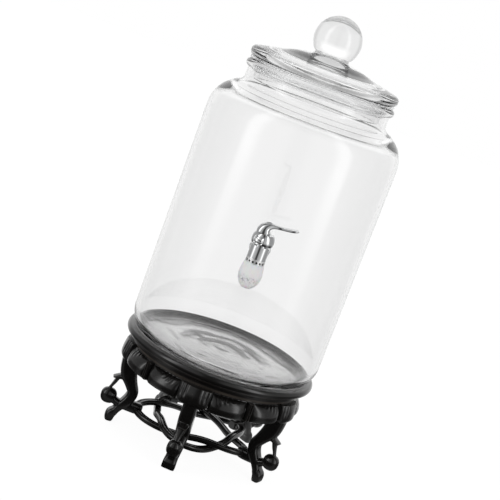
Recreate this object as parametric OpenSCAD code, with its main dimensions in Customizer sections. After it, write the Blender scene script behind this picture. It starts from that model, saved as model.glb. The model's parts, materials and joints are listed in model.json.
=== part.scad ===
// Glass beverage dispenser: a tall blown jar with a ball lid and a chrome lever tap,
// standing on a carved black wooden stand with five legs.
// Units are millimetres. +Z is up. The origin is on the floor, on the jar's axis.
// The tap is at the front (-Y).

/* [Jar] */
// outside radius of the jar's straight wall
jar_r = 110; // [90:1:140]
// thickness of the glass wall
jar_wall = 4; // [3:0.5:6]
// thickness of the glass floor
jar_floor = 8; // [6:0.5:12]
// height of the jar from its floor to the start of the shoulder
jar_body_h = 263; // [200:1:320]
// radius of the rounded lower corner
jar_corner_r = 26; // [20:1:30]
// radius of the rounded shoulder
shoulder_r = 38; // [32:1:44]
// outside radius of the neck
neck_r = 81.3; // [76:0.1:84]
// how far the lip stands out from the neck
lip_over = 3.7; // [3:0.1:4.5]
// radius of the small hollow where the neck meets the shoulder
neck_fillet = 7; // [4:0.5:9]
// height from the start of the shoulder to the middle of the lip
lip_rise = 56.5; // [54:0.5:70]
// radius of the rounded lip
lip_bead = 4.8; // [4:0.1:6]
// depth of the shallow hollow under the jar's floor
kick_up = 3; // [1:0.5:4]
// distance of that hollow from the rounded corner
kick_edge = 34; // [20:1:40]

/* [Lid] */
// how far the lid's rim lies inside the edge of the lip
lid_inset = 0.3; // [0:0.1:2]
// height of the rounded rim
lid_rim_h = 12.4; // [10:0.2:15]
// rise of the outer dome above the top of the rim
lid_dome = 9.9; // [6:0.1:14]
// radius of the raised middle of the dome
lid_crown_r = 50; // [40:0.5:55]
// top of the raised middle above the top of the rim
lid_crown = 15.4; // [13:0.1:20]
// thickness of the lid's glass
lid_wall = 5; // [4:0.5:6]
// clear width between the lid's plug and the neck
plug_gap = 4.8; // [4.2:0.1:8]
// depth of the plug under the rim
plug_h = 22; // [16:1:30]
// thickness of the plug's wall
plug_wall = 4.5; // [3.5:0.5:6]
// radius of the glass ball on top
ball_r = 26.5; // [20:0.5:32]
// how far the ball sinks into the dome
ball_sink = 8.7; // [6:0.1:12]
// thickness of the silicone ring under the rim
seal_t = 2; // [1.5:0.1:3]
// clear width between the silicone ring's ribs and the neck
seal_play = 0.8; // [0.6:0.1:1]
// bare height of the plug under the silicone sleeve
sleeve_up = 8; // [4:0.5:10]

/* [Stand top] */
// height of the board that the jar stands on
seat_z = 113; // [100:1:130]
// how far the moulded edge stands out from the jar's wall
frame_over = 0.5; // [0:0.5:6]
// height of the frame's rim above the board
frame_rim = 4; // [3:0.5:6]
// radius of the rounded edge moulding
frame_nose = 3.5; // [3:0.1:5]
// radius of the hollow moulding under the edge
frame_cove = 6; // [4:0.5:8]
// height of the small step under the rounded edge
frame_step = 1; // [0.5:0.1:2]
// thickness of the board
panel_t = 6; // [4:0.5:7]
// width of the ledge that carries the board
panel_ledge = 8; // [6:0.5:10]
// height of the recessed waist under the frame
waist_h = 3.5; // [2.5:0.5:6]
// height of the carved apron
apron_h = 22.5; // [20:0.5:28]
// how far the apron's backing lies behind the hollow moulding
back_inset = 4; // [2:0.5:4.5]
// radius of the long upper curve of the lobes
swell_r = 17; // [14:0.5:19]
// radius of the knee's long upper curve
knee_swell_r = 60; // [30:1:90]
// radius of the lobes' rounded lower edge
belly_r = 7; // [5:0.5:8]
// radius of the upright rib in the middle of each apron
rib_r = 3.4; // [2.6:0.1:5]
// how far the rib lies behind the lobes
rib_low = 1; // [0:0.1:2]
// clear width between the rib and the lobes beside it
rib_gap = 1.3; // [0.8:0.1:2]
// how far the carved lobes stand out from the apron's backing
lobe_out = 8.5; // [6:0.5:10]
// plain strip of backing left beside each lobe
lobe_edge = 0.9; // [0.4:0.1:1.5]
// how far a lobe is let into its backing
lobe_root = 0.5; // [0.3:0.1:1]
// height of the scrolls carved on the lobes
scroll_up = 0.9; // [0.5:0.1:1.5]
// turns of each scroll
scroll_turns = 2; // [1:1:2]
// growth of a scroll in one turn
scroll_pitch = 3.8; // [3:0.1:4.5]
// width of a scroll's ridge
scroll_w = 1.7; // [1:0.1:2.2]
// height of the scroll's middle above the lobe's middle
scroll_at = 0.5; // [-2:0.5:2]

/* [Legs] */
// turn of the front leg away from the front, in degrees
leg_turn = -6; // [-20:1:20]
// width of the leg below the knee
leg_w = 16.5; // [14:0.5:20]
// width of the knee
knee_w = 38; // [32:1:44]
// radius of the knee's lower corners
knee_corner = 9; // [6:0.5:10]
// width of the foot
foot_w = 14.5; // [12:0.5:16]
// height of the foot block
foot_h = 10; // [8:0.5:12]
// radius of the ball beside the foot
leg_ball_r = 9.1; // [8:0.1:10]
// width of that ball, which is cut flat at its sides
leg_ball_w = 16; // [13:0.2:17]
// thickness of the leg at the knee
knee_t = 22; // [18:0.5:24]
// thickness of the leg above the ball
shank_t = 12.6; // [11:0.2:15]
// how far the leg curves in from the knee line
leg_bow = 26; // [22:0.5:29]
// distance of the foot's middle from the knee line
foot_in = 10; // [8:0.5:12]
// radius of the dowel in the top of each leg
dowel_r = 2.5; // [2:0.1:3]
// depth of that dowel in the leg
dowel_l = 12; // [8:0.5:14]
// wood left between that dowel and the board
dowel_cover = 1; // [0.8:0.1:1.5]
// height of the ball's middle above the floor
leg_ball_z = 28; // [26:0.5:30]
// height of the spur's tip above the floor
spur_z = 51.5; // [49:0.5:55]
// width of the spur at its top
spur_w = 12.5; // [9:0.5:14]

/* [Stretcher] */
// height of the stretcher's middle above the floor
stretcher_z = 22; // [21:0.5:28]
// width of one strand
strand_w = 8; // [6:0.5:9]
// height of one strand
strand_h = 6; // [5:0.5:6.5]
// size of the chamfer along a strand's edges
strand_edge = 1.6; // [1:0.1:2.2]
// height of the boss that takes the strands
boss_h = 13; // [12:0.2:15]
// wall of that boss beside the strands
boss_wall = 2.4; // [2:0.1:3]
// distance of the strands' outer bends from the leg's knee line
strand_inset = 36.5; // [33:0.5:42]
// how far the strands swing in and out
strand_swing = 12.5; // [10:0.5:15]
// how far the strands are drawn in where they cross
strand_pinch = 2.8; // [0:0.1:3.5]

/* [Tap] */
// height of the tap's shank above the board
tap_rise = 150.5; // [60:0.5:170]
// distance of the tap's upright axis from the jar's wall
tap_reach = 27; // [24:0.5:36]
// outside radius of the upright barrel
barrel_r = 10; // [9:0.5:12]
// height of the barrel
barrel_h = 18.5; // [17:0.5:24]
// number of grip dimples round the barrel's foot
grip_n = 16; // [8:1:18]
// thickness of the barrel under the valve chamber
chamber_floor = 2.5; // [2:0.1:3]
// radius of the valve chamber in the barrel
chamber_r = 6.7; // [6.2:0.1:7.2]
// outside radius of the threaded shank
shank_r = 8; // [7:0.5:8.5]
// radius of the water way through the shank
shank_bore_r = 4; // [3:0.5:4.5]
// length of the shank beyond the nut
shank_proud = 5; // [2:0.5:8]
// radius of the flange outside the jar
flange_r = 10.5; // [10:0.5:14]
// thickness of the flange
flange_t = 3; // [2:0.5:4]
// thickness of each silicone washer
washer_t = 3; // [2.5:0.5:4]
// width of the nut across its flats
nut_af = 20; // [19:1:24]
// thickness of the nut
nut_t = 8; // [6:0.5:10]
// radius of the round head above the barrel
head_r = 11.9; // [11:0.1:13]
// height of the round head
head_h = 13; // [11:0.5:15]
// depth of the head's boss in the barrel
head_boss = 2; // [1.5:0.1:2.5]
// radius of the ports in the valve plug
port_r = 3; // [2.5:0.1:3.2]
// radius of an O-ring's section
oring_r = 0.8; // [0.6:0.1:0.9]
// distance of an O-ring from the plug's end
oring_at = 1.9; // [1.8:0.1:2]
// radius of the valve's stem
stem_r = 4; // [3.5:0.1:4.5]
// width of the square that drives the valve plug
drive_w = 5.2; // [4.8:0.1:5.4]
// height of the lever's hub
hub_h = 13; // [11:0.5:15]
// radius of the lever's hub at its foot
hub_r = 10.2; // [9.5:0.1:11]
// rounding of the hub's top
hub_round = 8; // [5:0.5:9]
// web between the drive and the screw's head
hub_web = 2; // [1.5:0.1:2.5]
// depth of the screw's recess
screw_sink = 2.6; // [2:0.1:3]
// radius of the screw's head
screw_head_r = 2.8; // [2.4:0.1:3]
// radius of the screw
screw_r = 1.5; // [1.2:0.1:1.8]
// length of the screw under its head
screw_l = 7; // [6:0.5:9]
// reach of the lever from the tap's axis
lever_l = 31; // [26:1:40]
// width of the lever's blade
lever_w = 12; // [9:0.5:14]
// thickness of the lever's blade
lever_t = 2.6; // [2:0.1:4]
// height of the blade's underside below the hub's top, at the hub
blade_drop = 3.4; // [3:0.1:5]
// rise of the blade from hub to tip
blade_rise = 3.6; // [1:0.1:6]
// radius of the hollow curve under the blade
blade_hollow = 4; // [3:0.5:4.5]
// radius of the spigot that carries the nozzle
spigot_r = 7; // [6:0.1:7.5]
// length of that spigot
spigot_h = 8; // [6:0.5:10]
// outside radius of the outlet nozzle
nozzle_r = 12.2; // [11.5:0.1:14]
// length of the outlet nozzle
nozzle_l = 26.8; // [24:0.2:32]
// length of the nozzle's flare under the barrel
nozzle_flare = 5.5; // [4:0.5:7]
// length of the nozzle's tapering end
nozzle_taper = 10; // [7:0.5:12]
// radius of the nozzle's outlet
outlet_r = 3.6; // [3:0.1:4.2]

/* [Fits] */
// gap between pieces that are joined
fit = 0.1; // [0.05:0.05:0.2]
// gap between pieces that turn or slide
run = 0.3; // [0.3:0.05:0.5]
// gap under pieces that stand on each other
rest = 0.05; // [0.02:0.01:0.1]

/* [Hidden] */
$fn = 64;
leg_n = 5;

// jar
jar_z = seat_z + rest;
jar_in_r = jar_r - jar_wall;
corner_x = jar_r - jar_corner_r;
shoulder_x = jar_r - shoulder_r;
body_top_z = jar_z + jar_body_h;
fillet_x = neck_r + neck_fillet;
fillet_z = body_top_z + sqrt(pow(shoulder_r + neck_fillet, 2) - pow(fillet_x - shoulder_x, 2));
lip_z = body_top_z + lip_rise;
lip_top_z = lip_z + lip_bead;
lip_x = neck_r + lip_over - lip_bead;
neck_in_r = neck_r - jar_wall;

// lid
lid_r = neck_r + lip_over - lid_inset;
plug_r = neck_in_r - plug_gap;
seal_rib = plug_gap - seal_t - seal_play;
lid_z = lip_top_z + run + seal_t;
rim_r = lid_rim_h / 2;
rim_x = lid_r - rim_r;
rim_top_z = lid_z + lid_rim_h;
crown_foot = lid_dome * (1 - pow(lid_crown_r / rim_x, 2));
ball_z = rim_top_z + lid_crown - ball_sink + ball_r;
plug_in_r = plug_r - plug_wall;

// stand top
frame_r = jar_r + frame_over;
frame_top_z = seat_z + frame_rim;
corner_drop = jar_corner_r - frame_rim + rest;
frame_in_r = corner_x + sqrt(pow(jar_corner_r, 2) - pow(corner_drop, 2)) + 1.5 * run;
ledge_in_r = frame_in_r - panel_ledge;
nose_x = frame_r - frame_nose;
cove_top_z = frame_top_z - 2 * frame_nose - frame_step;
frame_bot_z = cove_top_z - frame_cove;
back_r = frame_r - frame_nose - frame_cove - back_inset;
back_in_r = ledge_in_r;
apron_top_z = frame_bot_z - waist_h - fit;
apron_bot_z = apron_top_z - apron_h;
apron_mid_z = (apron_top_z + apron_bot_z) / 2;
belly_z = apron_bot_z + belly_r - 0.5;
lobe_r = back_r + lobe_out;
knee_deg = asin(knee_w / 2 / lobe_r);
bead_deg = asin((rib_r + rib_gap) / lobe_r);
lobe_half = (180 / leg_n - bead_deg - knee_deg) / 2;
lobe_mid = knee_deg + lobe_half;
lobe_foot = 1.5;
lobe_w = (back_r - lobe_foot) * tan(lobe_half) - lobe_edge;
knee_lobe_w = (back_r - lobe_foot) * tan(knee_deg) - lobe_edge;
joint_deg = asin(fit / back_in_r);

// legs
knee_r = lobe_r;
dowel_x = (ledge_in_r + back_r) / 2;
dowel_z = apron_top_z - dowel_l;
dowel_h = seat_z - panel_t - dowel_cover - dowel_z;
crest_r = knee_r - strand_inset;
boss_r = strand_w / 2 + boss_wall;
// middle line of the leg: distance from the axis, height, half thickness
leg_line = [
    [knee_r - knee_t * 0.41, apron_top_z, knee_t * 0.25],
    [knee_r - knee_t * 0.41, apron_mid_z, knee_t * 0.395],
    [knee_r - knee_t * 0.464, apron_bot_z, knee_t * 0.5],
    [knee_r - leg_bow * 0.56, spur_z + 9.5, knee_t * 0.455],
    [knee_r - leg_bow * 0.81, spur_z - 2.5, shank_t * 0.571],
    [knee_r - leg_bow, (spur_z + leg_ball_z) / 2, shank_t * 0.5],
    [knee_r - leg_bow * 0.94, leg_ball_z + 3, shank_t * 0.476],
    [knee_r - leg_bow * 0.69, leg_ball_z - 7, shank_t * 0.38],
    [knee_r - foot_in * 1.35, foot_h + 3, shank_t * 0.333],
    [knee_r - foot_in, foot_h / 2, shank_t * 0.27]
];

// stretcher
weave = leg_n / 2;
strand_mid_r = crest_r - strand_swing - strand_pinch;
strand_lift = strand_h / 2 + run;
mortise_w = strand_w + 1.6;
mortise_y = leg_w / 2 + 1;
mortise_h = strand_h + 2 * (strand_lift * sin(weave * atan(mortise_y / crest_r)) + run);
strand_span = 360 / weave;
strand_end = fit / crest_r * 180 / PI;
strand_steps = 24;

// tap
tap_z = seat_z + tap_rise;
tap_y = -(jar_r + tap_reach);
barrel_z = tap_z - barrel_h / 2;
barrel_top_z = barrel_z + barrel_h;
flange_y = -(jar_r + washer_t);
nut_y = -(jar_in_r - washer_t);
shank_end_y = nut_y + nut_t + shank_proud;
head_z = barrel_top_z + fit;
head_top_z = head_z + head_h;
chamber_z = barrel_z + chamber_floor;
plug_z = chamber_z + run;
plug_top_z = barrel_top_z - head_boss - run;
valve_r = chamber_r - run;
hub_z = head_top_z + run;
hub_top_z = hub_z + hub_h;
drive_top_z = hub_top_z - screw_sink - hub_web;
nozzle_z = barrel_z - fit;

glass = [0.86, 0.9, 0.92, 0.5];
wood = [0.07, 0.06, 0.06];
chrome = [0.75, 0.76, 0.78];
silicone = [0.8, 0.82, 0.84];

// smooth curve through four points
function curve(a, b, c, d, t) =
    0.5 * (2 * b + (c - a) * t + (2 * a - 5 * b + 4 * c - d) * t * t + (3 * b - a - 3 * c + d) * t * t * t);
function curve_at(p, i, t) =
    curve(p[max(i - 1, 0)], p[i], p[i + 1], p[min(i + 2, len(p) - 1)], t);
function curve_all(p, n) =
    concat([for (i = [0 : len(p) - 2], j = [0 : n - 1]) curve_at(p, i, j / n)], [p[len(p) - 1]]);
// unit vector across a line of points
function across(p, i) =
    let (a = p[max(i - 1, 0)], b = p[min(i + 1, len(p) - 1)], l = norm([b[0] - a[0], b[1] - a[1]]))
    [(b[1] - a[1]) / l, -(b[0] - a[0]) / l];
function side(p, s) =
    [for (i = [0 : len(p) - 1]) [p[i][0] + s * across(p, i)[0] * p[i][2], p[i][1] + s * across(p, i)[1] * p[i][2]]];
function back(p) = [for (i = [len(p) - 1 : -1 : 0]) p[i]];

// turns a piece from +X to the direction of a leg
module at_leg(k) {
    rotate([0, 0, leg_turn - 90 + (k - 1) * 360 / leg_n]) children();
}

// upper part of a large circle, as half of a dome's section
module cap(a, h, z) {
    big = (a * a + h * h) / (2 * h);
    intersection() {
        translate([0, z + h - big]) circle(r = big, $fn = 360);
        translate([0, z]) square([a, h]);
    }
}

// half section of the jar, drawn in by the glass thickness for the inside
module jar_half(in, floor_t, top_z) {
    low = jar_corner_r - in;
    translate([corner_x, jar_z + floor_t + low]) circle(r = low);
    translate([0, jar_z + floor_t]) square([corner_x, low]);
    translate([0, jar_z + floor_t + low]) square([jar_r - in, jar_body_h - floor_t - low]);
    translate([shoulder_x, body_top_z]) circle(r = shoulder_r - in, $fn = 96);
    translate([0, body_top_z - 1]) square([shoulder_x, shoulder_r - in + 1]);
    translate([0, body_top_z]) square([neck_r - in, top_z - body_top_z]);
    difference() {
        polygon([[0, body_top_z], [shoulder_x, body_top_z], [fillet_x, fillet_z], [0, fillet_z]]);
        translate([fillet_x, fillet_z]) circle(r = neck_fillet + in);
    }
}

module jar() {
    color(glass)
    difference() {
        rotate_extrude($fn = 128)
        intersection() {
            union() {
                jar_half(0, 0, lip_z);
                translate([lip_x, lip_z]) circle(r = lip_bead);
            }
            translate([0, jar_z]) square([jar_r + 1, lip_top_z - jar_z + 1]);
        }
        rotate_extrude($fn = 128)
        intersection() {
            jar_half(jar_wall, jar_floor, lip_top_z + 1);
            translate([0, jar_z]) square([jar_r + 1, lip_top_z - jar_z + 1]);
        }
        rotate_extrude($fn = 128)
        cap(corner_x - kick_edge, kick_up, jar_z);
        translate([0, 0, tap_z])
        rotate([90, 0, 0])
        cylinder(r = shank_r + run, h = jar_r + 1);
    }
}

module lid() {
    color(glass)
    rotate_extrude($fn = 128)
    intersection() {
        difference() {
            union() {
                translate([rim_x, lid_z + rim_r]) circle(r = rim_r);
                translate([0, lid_z]) square([rim_x, lid_rim_h]);
                translate([0, lid_z - plug_h]) square([plug_r, plug_h + 1]);
                cap(rim_x, lid_dome, rim_top_z);
                cap(lid_crown_r, lid_crown - crown_foot, rim_top_z + crown_foot);
                translate([0, ball_z]) circle(r = ball_r, $fn = 96);
            }
            translate([0, lid_z - plug_h - 1]) square([plug_in_r, plug_h + 1 + lid_rim_h - lid_wall]);
            cap(plug_in_r, lid_dome * pow(plug_in_r / rim_x, 2), rim_top_z - lid_wall);
        }
        translate([0, lid_z - plug_h]) square([lid_r + 1, ball_z + ball_r + plug_h - lid_z + 1]);
    }
}

// silicone ring: a flat washer under the rim and a ribbed sleeve round the plug
module lid_seal() {
    sleeve_h = plug_h - sleeve_up;
    sleeve_r = plug_r + seal_t;
    color(silicone)
    rotate_extrude($fn = 128)
    difference() {
        union() {
            translate([plug_r, lid_z - seal_t]) square([lip_x + lip_bead / 2 - plug_r, seal_t - rest]);
            translate([plug_r, lid_z - sleeve_h]) square([seal_t, sleeve_h - rest]);
            for (i = [1 : 2])
                translate([sleeve_r, lid_z - sleeve_h * i / 2 + 1.2])
                polygon([[-0.5, -1.2], [seal_rib, 0.3], [seal_rib, 0.9], [-0.5, 1.2]]);
        }
        translate([0, lid_z - plug_h]) square([plug_r + fit, plug_h]);
    }
}

module stand_frame() {
    color(wood)
    difference() {
        rotate_extrude($fn = 128)
        difference() {
            union() {
                translate([ledge_in_r, frame_bot_z]) square([nose_x - ledge_in_r, frame_top_z - frame_bot_z]);
                translate([nose_x, frame_top_z - frame_nose]) circle(r = frame_nose);
            }
            translate([nose_x, frame_bot_z]) circle(r = frame_cove);
            translate([0, seat_z - panel_t]) square([frame_in_r, panel_t + frame_rim + 1]);
        }
        dowel_holes(fit);
    }
}

module stand_panel() {
    color(wood)
    translate([0, 0, seat_z - panel_t + rest])
    cylinder(r = frame_in_r - fit, h = panel_t - rest, $fn = 128);
}

module stand_waist() {
    color(wood)
    difference() {
        translate([0, 0, frame_bot_z - waist_h])
        rotate_extrude($fn = 128)
        translate([ledge_in_r, 0])
        square([back_r - ledge_in_r + 0.5, waist_h - rest]);
        dowel_holes(fit);
    }
}

module dowel_holes(gap) {
    for (k = [1 : leg_n])
        at_leg(k)
        translate([dowel_x, 0, dowel_z - gap])
        cylinder(r = dowel_r + gap, h = dowel_h + 2 * gap);
}

module leg_dowels() {
    color([0.55, 0.42, 0.28])
    dowel_holes(0);
}

// stretch of the plain backing, from one angle to another
module backing(from, to) {
    rotate([0, 0, from])
    rotate_extrude(angle = to - from, $fn = 128)
    translate([back_in_r, apron_bot_z])
    square([back_r - back_in_r, apron_h]);
}

// swelling pad: the front of a barrel, full below and drawn back above, on the backing
module lobe(w, up, swell) {
    rise = lobe_out + lobe_foot;
    barrel = (w * w + rise * rise) / (2 * rise);
    difference() {
        translate([lobe_r - barrel, 0, 0])
        rotate([0, 0, 180])
        rotate_extrude()
        intersection() {
            union() {
                intersection() {
                    translate([barrel - swell, belly_z]) circle(r = swell + up, $fn = 128);
                    translate([0, belly_z]) square([barrel + up + 1, apron_h]);
                }
                intersection() {
                    translate([barrel - belly_r, belly_z]) circle(r = belly_r + up);
                    translate([0, apron_bot_z]) square([barrel + up + 1, belly_r - 0.5]);
                }
                translate([0, apron_bot_z]) square([barrel - belly_r, belly_r - 0.5]);
            }
            translate([0, apron_bot_z]) square([barrel + up + 1, apron_h]);
        }
        translate([0, 0, apron_bot_z - 1]) cylinder(r = back_r - lobe_root, h = apron_h + 2, $fn = 128);
    }
}

// half of a flat ring
module half_ring(r, w, up) {
    intersection() {
        difference() {
            circle(r = r + w / 2);
            circle(r = r - w / 2);
        }
        translate([-r - w, up ? -0.05 : -r - w]) square([2 * (r + w), r + w + 0.05]);
    }
}

// scroll made of half rings that grow as they turn
module scroll(n, pitch, w) {
    for (i = [0 : n - 1])
        translate([i % 2 == 0 ? 0 : pitch / 2, 0])
        half_ring(pitch / 2 * (i + 1), w, i % 2 == 0);
}

module carved_lobe() {
    lobe(lobe_w, 0, swell_r);
    intersection() {
        lobe(lobe_w, scroll_up, swell_r);
        translate([back_r, 0, apron_mid_z + scroll_at])
        rotate([90, 0, 90])
        linear_extrude(lobe_out + 2)
        scroll(scroll_turns * 2, scroll_pitch, scroll_w);
    }
}

// stretch of the apron between two legs
module apron(k) {
    color(wood)
    at_leg(k)
    union() {
        backing(knee_deg + joint_deg, 360 / leg_n - knee_deg - joint_deg);
        rotate([0, 0, lobe_mid]) carved_lobe();
        rotate([0, 0, 360 / leg_n - lobe_mid]) mirror([0, 1, 0]) carved_lobe();
        rotate([0, 0, 180 / leg_n]) {
            translate([lobe_r - rib_r - rib_low, 0, apron_bot_z + rib_r + 0.5]) {
                cylinder(r = rib_r, h = apron_h - rib_r - 1.5);
                sphere(r = rib_r);
            }
            translate([back_r - lobe_root, 0.2 - rib_r, apron_bot_z + rib_r + 0.5])
            cube([lobe_out + lobe_root - rib_r - rib_low, 2 * rib_r - 0.4, apron_h - rib_r - 1.5]);
        }
    }
}

// front of the knee: straight above, round at its lower corners
module knee_front() {
    c = knee_corner;
    translate([-knee_w / 2, apron_bot_z + c]) square([knee_w, apron_h - c]);
    translate([-knee_w / 2 + c, apron_bot_z]) square([knee_w - 2 * c, c + 1]);
    for (s = [-1, 1])
        translate([s * (knee_w / 2 - c), apron_bot_z + c]) circle(r = c);
}

// front of the leg below the knee
module shank_front() {
    polygon([
        [-leg_w / 2, apron_top_z], [leg_w / 2, apron_top_z],
        [leg_w / 2, spur_z], [foot_w / 2 - 0.3, foot_h + 3], [foot_w / 2 - 0.3, 0],
        [0.3 - foot_w / 2, 0], [0.3 - foot_w / 2, foot_h + 3], [-leg_w / 2, spur_z]
    ]);
}

// spur: a pointed leaf that narrows down to the ball
module spur() {
    intersection() {
        rotate([90, 0, 0])
        linear_extrude(spur_w, center = true)
        polygon([
            [knee_r - 11, spur_z + 1.5], [knee_r - 6.3, spur_z - 2.5], [knee_r - 1, leg_ball_z + leg_ball_r - 1.2],
            [knee_r + 2, leg_ball_z + leg_ball_r - 0.8], [knee_r - 2.2, spur_z - 4],
            [knee_r + 0.8, spur_z - 0.5], [knee_r - 6, spur_z + 3.3]
        ]);
        rotate([90, 0, 90])
        linear_extrude(2 * knee_r)
        polygon([
            [-spur_w / 2, spur_z + 5], [spur_w / 2, spur_z + 5], [spur_w / 2, spur_z],
            [2, leg_ball_z + leg_ball_r - 3], [-2, leg_ball_z + leg_ball_r - 3], [-spur_w / 2, spur_z]
        ]);
    }
}

module leg(k) {
    line = curve_all(leg_line, 4);
    ankle = leg_line[len(leg_line) - 3];
    ball_x = knee_r - 1.5;
    neck_v = [ball_x - ankle[0], leg_ball_z - ankle[1]];
    color(wood)
    at_leg(k)
    difference() {
        union() {
            // curved shank
            intersection() {
                rotate([90, 0, 0])
                linear_extrude(leg_w, center = true)
                polygon(concat(side(line, 1), back(side(line, -1))));
                rotate([90, 0, 90]) linear_extrude(2 * knee_r) shank_front();
            }
            // knee pad and its backing
            intersection() {
                union() {
                    lobe(knee_lobe_w, 0, knee_swell_r);
                    backing(-knee_deg, knee_deg);
                }
                rotate([90, 0, 90]) linear_extrude(2 * knee_r) knee_front();
            }
            // foot
            rotate([90, 0, 0])
            linear_extrude(foot_w, center = true)
            polygon([
                [knee_r - foot_in * 1.25, 0], [knee_r - foot_in * 0.65, 0], [knee_r - foot_in * 0.47, foot_h],
                [knee_r - foot_in * 0.9, foot_h + 2], [knee_r - foot_in * 1.55, foot_h]
            ]);
            // ball and its neck
            intersection() {
                translate([ball_x, 0, leg_ball_z]) sphere(r = leg_ball_r, $fn = 32);
                translate([0, -leg_ball_w / 2, 0]) cube([2 * knee_r, leg_ball_w, 2 * leg_ball_z]);
            }
            translate([ankle[0], 0, ankle[1]])
            rotate([0, atan2(neck_v[0], neck_v[1]), 0])
            cylinder(r = leg_ball_r * 0.5, h = norm(neck_v));
            spur();
            // boss that takes the stretcher
            translate([crest_r, 0, stretcher_z - boss_h / 2]) cylinder(r = boss_r, h = boss_h);
            translate([crest_r, -boss_r, stretcher_z - boss_h / 2])
            cube([leg_line[7][0] - crest_r, 2 * boss_r, boss_h]);
        }
        // mortise for the strands' ends
        translate([crest_r - mortise_w / 2, -mortise_y, stretcher_z - mortise_h / 2])
        cube([mortise_w, 2 * mortise_y, mortise_h]);
        translate([dowel_x, 0, dowel_z - fit])
        cylinder(r = dowel_r + fit, h = dowel_h);
    }
}

// one strand of the interlaced stretcher: it leaves a leg, dips inside the next one
// and ends at the leg after that, under one neighbour and over the other
function strand_at(a) =
    let (r = strand_mid_r + strand_swing * cos(weave * a) + strand_pinch * cos(2 * weave * a))
    [r * cos(a), r * sin(a), stretcher_z - strand_lift * sin(weave * a)];
function strand_ring(a) =
    let (p = strand_at(a), q = strand_at(a + 0.5), o = strand_at(a - 0.5),
         d = [q[0] - o[0], q[1] - o[1]] / norm([q[0] - o[0], q[1] - o[1]]),
         w = strand_w / 2, h = strand_h / 2, c = strand_edge)
    [for (s = [[w, h - c], [w - c, h], [c - w, h], [-w, h - c], [-w, c - h], [c - w, -h], [w - c, -h], [w, c - h]])
        [p[0] + d[1] * s[0], p[1] - d[0] * s[0], p[2] + s[1]]];

module stretcher(k) {
    n = 8;
    rings = [for (i = [0 : strand_steps]) strand_ring(strand_end + (strand_span - 2 * strand_end) * i / strand_steps)];
    points = [for (r = rings, p = r) p];
    walls = [for (i = [0 : strand_steps - 1], j = [0 : n - 1])
        let (a = i * n + j, b = i * n + (j + 1) % n)
        each [[a, b, b + n], [a, b + n, a + n]]];
    ends = [[for (j = [n - 1 : -1 : 0]) j], [for (j = [0 : n - 1]) strand_steps * n + j]];
    color(wood)
    at_leg(k)
    polyhedron(points, concat(walls, ends));
}

// lies a piece down so that +Z points along +Y
module lie(y) {
    translate([0, y, tap_z]) rotate([-90, 0, 0]) children();
}

module tap_body() {
    color(chrome)
    difference() {
        union() {
            translate([0, tap_y, barrel_z]) cylinder(r = barrel_r, h = barrel_h);
            translate([0, tap_y, barrel_z - spigot_h]) cylinder(r = spigot_r, h = spigot_h + 1);
            lie(tap_y) cylinder(r = shank_r, h = shank_end_y - tap_y);
            lie(flange_y - flange_t) cylinder(r = flange_r, h = flange_t);
        }
        translate([0, tap_y, chamber_z]) cylinder(r = chamber_r, h = barrel_h);
        translate([0, tap_y, barrel_z - spigot_h - 1]) cylinder(r = shank_bore_r, h = barrel_h);
        lie(tap_y) cylinder(r = shank_bore_r, h = shank_end_y - tap_y + 1);
        for (i = [0 : grip_n - 1])
            translate([0, tap_y, barrel_z + 2])
            rotate([0, 0, (i + 0.5) * 360 / grip_n])
            translate([barrel_r + 0.4, 0, 0])
            sphere(r = 1.2, $fn = 24);
    }
}

module tap_washer_outer() {
    color(silicone)
    difference() {
        lie(flange_y + fit) cylinder(r = flange_r, h = washer_t + flange_r);
        cylinder(r = jar_r + fit, h = 2 * tap_z, $fn = 128);
        lie(flange_y - 1) cylinder(r = shank_r + fit, h = washer_t + flange_r + 2);
    }
}

module tap_washer_inner() {
    color(silicone)
    difference() {
        intersection() {
            lie(-jar_r) cylinder(r = flange_r, h = jar_r + nut_y);
            cylinder(r = jar_in_r - fit, h = 2 * tap_z, $fn = 128);
        }
        lie(-jar_r - 1) cylinder(r = shank_r + fit, h = jar_r);
    }
}

module tap_nut() {
    color(chrome)
    difference() {
        union() {
            lie(nut_y + fit) cylinder(r = nut_af / 2 / cos(30), h = nut_t - fit, $fn = 6);
            lie(nut_y + fit) cylinder(r = nut_af / 2 + 1, h = 2);
        }
        lie(nut_y - 1) cylinder(r = shank_r + fit, h = nut_t + 2);
    }
}

module tap_head() {
    color(chrome)
    difference() {
        union() {
            intersection() {
                translate([0, tap_y, head_z + head_h * 0.45]) sphere(r = head_r);
                translate([-head_r, tap_y - head_r, head_z]) cube([2 * head_r, 2 * head_r, head_h]);
            }
            translate([0, tap_y, head_z - head_boss]) cylinder(r = chamber_r - fit, h = head_boss + 1);
        }
        translate([0, tap_y, head_z - head_boss - 1]) cylinder(r = stem_r + run, h = head_h + head_boss + 2);
    }
}

// quarter-turn plug: the side port meets the shank when the lever points forward
module valve_plug() {
    color([0.72, 0.6, 0.32])
    difference() {
        union() {
            translate([0, tap_y, plug_z]) cylinder(r = valve_r, h = plug_top_z - plug_z);
            translate([0, tap_y, plug_z]) cylinder(r = stem_r, h = hub_z - plug_z);
            translate([-drive_w / 2, tap_y - drive_w / 2, hub_z - 1])
            cube([drive_w, drive_w, drive_top_z - hub_z + 1]);
        }
        translate([0, tap_y, plug_z - 1]) cylinder(r = port_r, h = tap_z - plug_z + 1);
        translate([0, tap_y, tap_z]) rotate([0, -90, 0]) cylinder(r = port_r, h = barrel_r);
        for (z = [plug_z + oring_at, plug_top_z - oring_at])
            translate([0, tap_y, z])
            rotate_extrude()
            translate([valve_r - 2 * oring_r - fit, -oring_r - fit])
            square([2 * oring_r + 1, 2 * (oring_r + fit)]);
        translate([0, tap_y, drive_top_z - screw_l]) cylinder(r = screw_r + fit, h = screw_l + 1);
    }
}

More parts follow.
